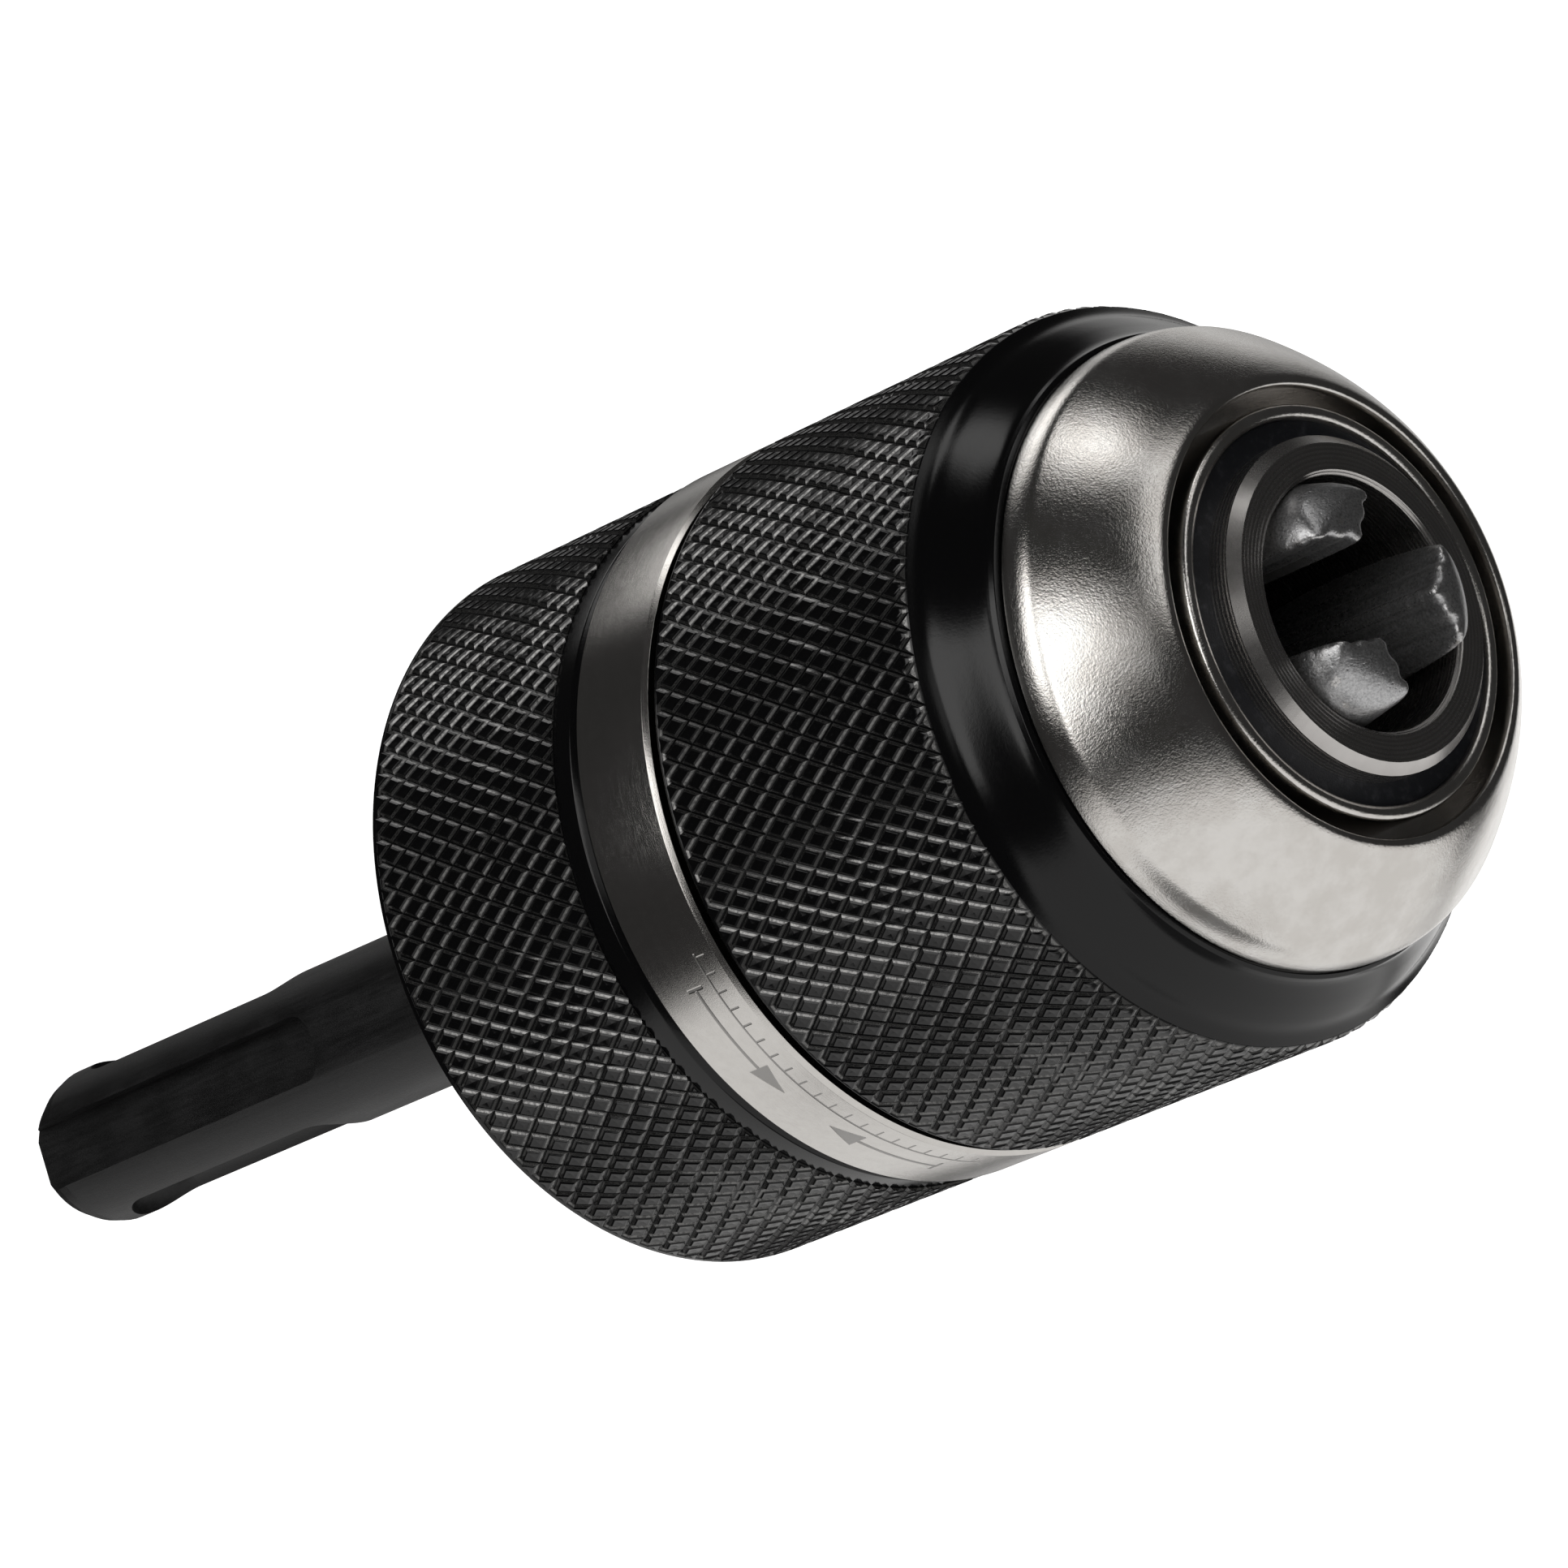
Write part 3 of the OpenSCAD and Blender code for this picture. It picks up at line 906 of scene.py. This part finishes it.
@dataclass
class Knurl:
    """A diamond knurl: one blunt pyramid, repeated along the sleeve and round it."""

    crest: float
    z0: float
    z1: float
    depth: float = 0.24
    starts: int = 96
    length: float = 2.5
    floor: float = 0.28
    merge_mm: float = 0.02
    taper_z: Optional[float] = None
    steps: tuple[Point, ...] = (
        (0.04, 0.01), (0.36, 0.2), (0.06, 0.025), (0.05, 0.0), (0.44, -0.055)
    )

    @property
    def valley(self) -> float:
        """Radius at the root of the diamonds."""
        return self.crest - self.depth

    def build(self, name: str) -> bpy.types.Object:
        """Cuts the knurl.

        Args:
            name: the mesh's name.

        Returns:
            A closed ring of diamonds.
        """
        half_turn = math.pi / self.starts
        half_wide = self.valley * math.sin(half_turn)
        half_long = self.length / 2
        centre = (self.valley * math.cos(half_turn) * MM, 0.0, self.z0 * MM)
        Bench.clear()
        bpy.ops.mesh.primitive_circle_add(
            vertices=4,
            radius=MM,
            fill_type="NGON",
            location=centre,
            rotation=(0.0, math.pi / 2, 0.0),
        )
        obj = bpy.context.object
        obj.name = name
        obj.data.name = name
        bpy.ops.object.transform_apply(location=True, rotation=True, scale=True)
        Bench.edit(obj)
        bpy.ops.transform.resize(value=(1.0, half_wide, half_long), center_override=centre)
        Bench.close()
        if obj.data.polygons[0].normal.x < 0:
            Bench.edit(obj)
            bpy.ops.mesh.flip_normals()
            Bench.close()
        inner = half_wide * half_long / math.hypot(half_wide, half_long)
        Bench.edit(obj)
        bpy.ops.mesh.select_mode(type="FACE")
        bpy.ops.mesh.select_all(action="SELECT")
        for share, rise in self.steps:
            bpy.ops.mesh.inset(thickness=inner * share * MM, depth=rise * MM, use_boundary=True)
        bpy.ops.mesh.select_all(action="SELECT")
        ahead = (0.0, 0.0, half_long * MM)
        bpy.ops.mesh.duplicate_move(TRANSFORM_OT_translate={"value": ahead})
        bpy.ops.transform.rotate(value=half_turn, orient_axis="Z", center_override=ORIGIN)
        Bench.close()
        self._lengthen(obj)
        self._sector(obj, half_turn)
        if self.taper_z is not None:
            self._taper(obj)
        self._cut(obj, (0.0, 0.0, self.z1 * MM), (0.0, 0.0, 1.0), "outer")
        self._repeat(obj)
        self._close_ends(obj)
        return obj

    def _lengthen(self, obj: bpy.types.Object) -> None:
        """Repeats the pair of diamonds along the sleeve and trims both ends.

        Args:
            obj: the pair of diamonds.
        """
        Bench.edit(obj)
        bpy.ops.transform.translate(value=(0.0, 0.0, -self.length * MM * 0.5))
        Bench.close()
        Bench.modifier(
            obj,
            "ARRAY",
            count=math.ceil((self.z1 - self.z0) / self.length) + 2,
            use_relative_offset=False,
            use_constant_offset=True,
            constant_offset_displace=(0.0, 0.0, self.length * MM),
            use_merge_vertices=True,
            merge_threshold=self.merge_mm * MM,
        )
        self._cut(obj, (0.0, 0.0, self.z0 * MM), (0.0, 0.0, 1.0), "inner")

    @staticmethod
    def _cut(
        obj: bpy.types.Object, at: Sequence[float], across: Sequence[float], drop: str = ""
    ) -> None:
        """Cuts a mesh by a plane.

        Args:
            obj: the mesh.
            at: a point of the plane, in metres.
            across: the plane's normal.
            drop: the side that is dropped: inner, outer, or neither.
        """
        Bench.edit(obj)
        bpy.ops.mesh.bisect(
            plane_co=at,
            plane_no=across,
            clear_inner=drop == "inner",
            clear_outer=drop == "outer",
            threshold=1e-7,
        )
        Bench.close()

    def _sector(self, obj: bpy.types.Object, half_turn: float) -> None:
        """Trims the strip to one sector, so that its two sides are alike.

        Args:
            obj: the strip.
            half_turn: half of the sector's angle.
        """
        Bench.edit(obj)
        for turn in (2 * half_turn, -4 * half_turn):
            bpy.ops.mesh.duplicate_move()
            bpy.ops.transform.rotate(value=turn, orient_axis="Z", center_override=ORIGIN)
        bpy.ops.mesh.select_all(action="SELECT")
        bpy.ops.mesh.remove_doubles(threshold=self.merge_mm * MM)
        Bench.close()
        side, ahead = math.sin(half_turn), math.cos(half_turn)
        self._cut(obj, ORIGIN, (-side, ahead, 0.0), "outer")
        self._cut(obj, ORIGIN, (side, ahead, 0.0), "inner")

    def _taper(self, obj: bpy.types.Object) -> None:
        """Cuts the crests back to a bevel that reaches their root at the end.

        Args:
            obj: one strip of diamonds.
        """
        run, drop = self.z1 - self.taper_z, self.depth
        start = Vector((self.crest * MM, 0.0, self.taper_z * MM))
        normal = Vector((run, 0.0, drop)).normalized()
        along = Vector((-drop, 0.0, run)).normalized()
        self._cut(obj, start, normal)
        Bench.pick(obj, lambda co: (co - start).dot(normal) > 1e-7)
        bpy.ops.transform.resize(
            value=(0.0, 1.0, 1.0),
            orient_type="GLOBAL",
            orient_matrix=(normal, (0.0, 1.0, 0.0), along),
            orient_matrix_type="GLOBAL",
            center_override=start,
        )
        Bench.close()

    def _repeat(self, obj: bpy.types.Object) -> None:
        """Repeats the strip round the sleeve.

        Args:
            obj: one strip of diamonds.
        """
        Bench.clear()
        bpy.ops.object.empty_add(rotation=(0.0, 0.0, 2 * math.pi / self.starts))
        turn = bpy.context.object
        Bench.modifier(
            obj,
            "ARRAY",
            count=self.starts,
            use_relative_offset=False,
            use_object_offset=True,
            offset_object=turn,
            use_merge_vertices=True,
            merge_threshold=self.merge_mm * MM,
        )
        Bench.take(turn)
        bpy.ops.object.delete()
        Bench.seal(obj, self.merge_mm)

    def _close_ends(self, obj: bpy.types.Object) -> None:
        """Draws both ends inwards and joins them by an inner wall.

        Args:
            obj: the ring of diamonds.
        """
        share = (self.valley - self.floor) / self.crest
        for height in (self.z0, self.z1):
            Bench.pick(obj, lambda co, h=height: abs(co.z - h * MM) < 1e-6, "EDGE")
            bpy.ops.mesh.extrude_edges_move()
            bpy.ops.transform.resize(
                value=(share, share, 1.0), center_override=(0.0, 0.0, height * MM)
            )
            Bench.close()
        limit = (self.valley - self.floor * 0.3) * MM
        Bench.pick(obj, lambda co: math.hypot(co.x, co.y) < limit, "EDGE")
        bpy.ops.mesh.bridge_edge_loops()
        Bench.close()
        Bench.seal(obj)


@dataclass
class Sleeve:
    """A knurled sleeve: a turned core and a knurl, joined."""

    name: str
    node: str
    body: str
    knurl: Knurl
    finish: Finishes

    def section(self) -> list[Point]:
        """The core's section.

        Returns:
            Profile points in millimetres.
        """
        raise NotImplementedError

    def build(self) -> None:
        """Makes and dresses the sleeve."""
        core = Bench.spin_profile(f"{self.node}_core", self.section(), 192)
        sleeve = self.knurl.build(self.name)
        Bench.take(sleeve)
        core.select_set(True)
        bpy.ops.object.join()
        Bench.smooth(sleeve, 30.0)
        finish_piece(sleeve, self.finish, self.body, [self.node])


@dataclass
class FrontSleeve(Sleeve):
    """The turning sleeve: knurled grip and a smooth nose that curves in to the cap."""

    name: str = "front_sleeve_piece"
    node: str = "front_sleeve"
    body: str = "closing_sleeve"
    finish: Finishes = Finishes.FRONT_KNURL
    shell: float = 20.4
    rear: float = 34.8
    knurl: Knurl = field(
        default_factory=lambda: Knurl(21.85, FACE - 34.3, FACE - 13.4, taper_z=FACE - 14.0)
    )

    def section(self) -> list[Point]:
        """The sleeve's section without its knurl.

        Returns:
            Profile points in millimetres.
        """
        crest, land = self.knurl.crest, self.knurl.valley - 0.02
        root = self.knurl.valley - 0.14
        back = [
            (self.shell, self.rear, 0.1), (crest - 0.35, self.rear, 0.25),
            (crest - 0.04, self.rear - 0.35, 0.12), (crest - 0.1, self.rear - 0.55),
            (root, self.rear - 0.85), (root, 14.2), (land, 13.9),
        ]
        curve = [
            (land, 13.4), (21.0, 12.85), (20.55, 12.15), (20.02, 11.4), (19.5, 10.7),
            (19.08, 10.1), (18.9, 9.75),
        ]
        front = [
            (18.82, 9.42, 0.12), (18.6, 9.28, 0.1), (17.55, 9.28), (17.55, 10.7), (18.2, 10.8),
            (19.2, 12.1), (20.4, 13.5),
        ]
        return rounded(behind(back)) + flowing(behind(curve), 5) + rounded(behind(front))


@dataclass
class RearSleeve(Sleeve):
    """The fixed sleeve: rounded rear rim, knurl, and a plain strip at its front."""

    name: str = "rear_sleeve_piece"
    node: str = "rear_sleeve"
    body: str = "chuck_fixed"
    finish: Finishes = Finishes.REAR_KNURL
    shell: float = 20.6
    knurl: Knurl = field(default_factory=lambda: Knurl(21.75, 0.7, FACE - 43.7))

    def section(self) -> list[Point]:
        """The sleeve's section without its knurl.

        Returns:
            Profile points in millimetres.
        """
        crest, root = self.knurl.crest, self.knurl.valley - 0.14
        rim = [
            (self.shell - 1.0, 0.0, 0.15), (crest - 0.45, 0.0, 0.35), (crest - 0.02, 0.4, 0.2),
            (crest - 0.03, 0.72, 0.04), (crest - 0.1, 0.78), (root, 1.0),
        ]
        strip = [
            (root, 44.4), (crest - 0.25, 43.8, 0.1), (crest - 0.25, 42.25, 0.2),
            (crest - 0.55, 41.9, 0.15), (self.shell, 41.9),
        ]
        inside = [(self.shell, 1.6), (self.shell - 1.0, 1.6)]
        return rounded(rim) + rounded(behind(strip)) + inside


@dataclass
class IndicatorBand:
    """The bright ring between the sleeves, on which the turn marks are engraved."""

    radius: float = 21.82

    def build(self) -> None:
        """Makes and dresses the band."""
        r = self.radius
        section = [
            (20.1, 44.0), (20.6, 44.0), (20.6, 41.5), (r - 0.25, 41.5, 0.08), (r, 41.25, 0.12),
            (r, 35.6, 0.04), (r - 0.24, 35.3, 0.04), (19.4, 35.3), (19.4, 37.7), (20.1, 37.7),
        ]
        band = Bench.spin_profile("indicator_band_piece", rounded(behind(section)), 224)
        Bench.smooth(band, 30.0)
        finish_piece(band, Finishes.BAND, "chuck_fixed", ["indicator_band"])


@dataclass
class NoseCap:
    """The cap: a short cylinder, a bend, a nearly straight cone and a rolled mouth."""

    rim: float = 18.58
    mouth: float = 13.0

    def build(self) -> None:
        """Makes and dresses the cap."""
        tail = [
            (16.4, 14.7), (17.5, 14.7), (17.5, 9.15), (self.rim - 0.2, 9.15, 0.1),
            (self.rim, 8.95, 0.1),
        ]
        dome = [
            (self.rim, 8.6), (self.rim - 0.04, 7.9), (self.rim - 0.2, 7.2), (self.rim - 0.55, 6.6),
            (17.3, 5.55), (16.5, 4.5), (15.65, 3.5), (14.8, 2.62), (14.1, 2.0), (13.65, 1.66),
            (13.35, 1.54), (13.1, 1.64), (self.mouth, 1.95),
        ]
        inside = [(self.mouth, 5.4), (11.0, 5.4), (11.0, 6.6), (15.0, 6.6), (16.4, 8.4)]
        section = rounded(behind(tail)) + flowing(behind(dome), 5) + behind(inside)
        cap = Bench.spin_profile("nose_cap_piece", section, 224)
        Bench.smooth(cap, 34.0)
        finish_piece(cap, Finishes.CAP, "closing_sleeve", ["nose_cap"])


@dataclass
class RetainingRing:
    """The second bright ring, inside the mouth of the cap."""

    inner: float = 9.8

    def build(self) -> None:
        """Makes and dresses the ring."""
        a = self.inner
        bead = [
            (a + 2.25, 2.1), (a + 2.18, 1.75), (a + 2.0, 1.57), (a + 1.75, 1.5),
            (a + 1.52, 1.58), (a + 1.36, 1.75), (a + 1.3, 2.05),
        ]
        foot = behind([(a, 5.3), (a + 2.25, 5.3)])
        section = foot + flowing(behind(bead), 4) + behind([(a + 1.3, 3.6), (a, 3.6)])
        ring = Bench.spin_profile("retaining_ring_piece", section, 192)
        Bench.smooth(ring, 34.0)
        finish_piece(ring, Finishes.CAP, "chuck_fixed", ["retaining_ring"])


@dataclass
class Jaw:
    """One of the three jaws."""

    number: int
    body: str

    def build(self) -> None:
        """Makes and dresses the jaw."""
        node = f"jaw_{self.number}"
        jaw = Bench.melt(f"{node}_piece", node, 0.13, 4)
        Bench.smooth(jaw, 60.0)
        finish_piece(jaw, Finishes.JAW, self.body, [node])


@dataclass
class CarriedNodes:
    """CAD nodes that keep their own shape and get a better finish."""

    finishes: dict[str, Finishes] = field(
        default_factory=lambda: {
            "hammer_shank": Finishes.SHANK,
            "retaining_screw": Finishes.SCREW,
            "chuck_body": Finishes.NOSE,
            "nut_half_a": Finishes.NUT,
            "nut_half_b": Finishes.NUT,
            "nut_collar": Finishes.RACE,
            "preload_spring": Finishes.SPRING,
            "race_front": Finishes.RACE,
            "race_rear": Finishes.RACE,
            "ball_cage": Finishes.CAGE,
            "bearing_balls": Finishes.RACE,
            "front_liner": Finishes.LINER,
            "dust_seal": Finishes.SEAL,
            "rear_hub": Finishes.LINER,
            "rear_clip": Finishes.SPRING,
            "rear_cover": Finishes.COVER,
        }
    )

    def build(self) -> None:
        """Dresses the nodes."""
        for node, finish in self.finishes.items():
            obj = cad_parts[node]
            obj.data.materials.clear()
            obj.data.materials.append(finish.value.material())
            LOG.info("%s: %s", node, finish.value.name)


# ---------------------------------------------------------------- studio


@dataclass(frozen=True)
class Card:
    """A soft box or a pale wall of the room, placed by the camera's own axes."""

    turn: float
    rise: float
    wide: float
    high: float
    power: float
    soft: float = 0.12

    def glow(self, shop: NodeShop, ray: Wire, axes: tuple[Vector, Vector, Vector]) -> Wire:
        """The light that comes from this card.

        Args:
            shop: the world's node tree.
            ray: direction that is looked in.
            axes: the camera's right, up and back axes.

        Returns:
            The card's brightness in that direction.
        """
        right, up, back = axes
        a, e = math.radians(self.turn), math.radians(self.rise)
        level = right * math.sin(a) + back * math.cos(a)
        side = right * math.cos(a) - back * math.sin(a)
        aim = level * math.cos(e) + up * math.sin(e)
        top = up * math.cos(e) - level * math.sin(e)
        mask = shop.dot(ray, aim).ramp(0.0, 0.2)
        for axis, half in ((side, self.wide), (top, self.high)):
            edge = math.sin(math.radians(half))
            off = abs(shop.dot(ray, axis))
            mask = mask * (1.0 - off.ramp(edge - self.soft, edge + self.soft))
        return mask * self.power


CARDS = (
    Card(-31.0, 7.0, 11.0, 20.0, 2.3, 0.05),
    Card(-64.0, 9.0, 12.0, 18.0, 2.5, 0.07),
    Card(-10.0, 15.0, 8.0, 10.0, 0.7, 0.08),
    Card(-138.0, 41.0, 14.0, 9.0, 1.5, 0.07),
    Card(-64.0, 77.0, 10.0, 7.0, 1.9, 0.06),
    Card(15.0, 45.0, 5.5, 18.0, 1.25, 0.05),
    Card(30.0, 71.0, 10.0, 7.0, 1.0, 0.07),
    Card(160.0, -4.0, 15.0, 14.0, 1.0, 0.12),
    Card(178.0, 28.0, 14.0, 14.0, 0.6, 0.15),
)


@dataclass
class Studio:
    """Camera, lights, backdrop and floor."""

    camera_at: tuple[float, float, float] = (-0.38767, -0.11557, 0.41007)
    forward: tuple[float, float, float] = (0.68275, 0.21028, -0.69974)
    up: tuple[float, float, float] = (0.0, 0.95769, 0.2878)
    lens: float = 223.6
    floor_z: float = -0.3
    room: float = 0.03
    table: float = 0.8
    shadow: float = 0.65

    def build(self) -> None:
        """Sets up the whole studio."""
        self._camera()
        self._floor()
        self._world()

    def _axes(self) -> tuple[Vector, Vector, Vector]:
        """The camera's axes.

        Returns:
            Right, up and towards the viewer.
        """
        ahead = Vector(self.forward).normalized()
        right = ahead.cross(Vector(self.up)).normalized()
        return right, right.cross(ahead).normalized(), -ahead

    def _camera(self) -> None:
        """Adds the camera."""
        right, up, back = self._axes()
        Bench.clear()
        bpy.ops.object.camera_add(location=self.camera_at)
        camera = bpy.context.object
        camera.name = "camera"
        turn = (
            (right.x, up.x, back.x),
            (right.y, up.y, back.y),
            (right.z, up.z, back.z),
        )
        camera.rotation_mode = "QUATERNION"
        camera.rotation_quaternion = Matrix(turn).to_quaternion()
        camera.data.lens = self.lens
        camera.data.sensor_width = 36.0
        camera.data.clip_start = 0.01
        camera.data.clip_end = 20.0
        bpy.context.scene.camera = camera

    def _floor(self) -> None:
        """Adds the pale floor."""
        Bench.clear()
        bpy.ops.mesh.primitive_plane_add(size=8.0, location=ORIGIN)
        floor = bpy.context.object
        floor.name = "floor"
        Bench.edit(floor)
        bpy.ops.transform.translate(value=(0.0, 0.0, self.floor_z))
        Bench.close()
        made = bpy.data.materials.new("pale floor")
        made.use_nodes = True
        shop = NodeShop(made.node_tree)
        at, _, _, _ = shop.place()
        tone = shop.noise(at, 0.01, 2.0)
        shop.surface(
            Base_Color=shop.mix(tone, rgba(0.93, 0.93, 0.93), rgba(0.96, 0.96, 0.96)),
            Roughness=0.7,
            Emission_Color=rgba(1.0, 1.0, 1.0),
            Emission_Strength=1.0,
        )
        floor.data.materials.append(made)
        floor.visible_glossy = False
        floor.visible_diffuse = False

    def _world(self) -> None:
        """A dim room with a pale table, soft boxes, and a white backdrop for the camera."""
        world = bpy.data.worlds.new("studio")
        bpy.context.scene.world = world
        world.use_nodes = True
        shop = NodeShop(world.node_tree)
        ray = shop.node("ShaderNodeTexCoord", output="Generated")
        glow: Number = self.room
        for card in CARDS:
            glow = card.glow(shop, ray, self._axes()) + glow
        right, up, _ = self._axes()
        low = shop.dot(ray, right * 0.26 - up * 0.966)
        under = shop.dot(ray, -up)
        table = low.ramp(0.43, 0.53) * (self.table - under.ramp(0.9, 0.96) * self.shadow)
        glow = table + glow
        seen = shop.node("ShaderNodeLightPath", output="Is Camera Ray")
        level = glow * (1.0 - seen) + seen
        values = {"Color": rgba(1.0, 0.992, 0.98), "Strength": level}
        shade = shop.node("ShaderNodeBackground", {}, values)
        end = shop.tree.nodes.new("ShaderNodeOutputWorld")
        shop.tree.links.new(shade.socket, end.inputs["Surface"])


def main() -> None:
    """Builds every piece in order."""
    logging.basicConfig(level=logging.INFO, format="%(message)s")
    bpy.context.scene.view_settings.view_transform = "Standard"
    pieces = (
        CarriedNodes(),
        RearSleeve(),
        FrontSleeve(),
        IndicatorBand(),
        NoseCap(),
        RetainingRing(),
        Jaw(1, "jaw_a"),
        Jaw(2, "jaw_b"),
        Jaw(3, "jaw_c"),
        Studio(),
    )
    for piece in pieces:
        piece.build()
    Bench.clear()


if __name__ == "__main__":
    main()
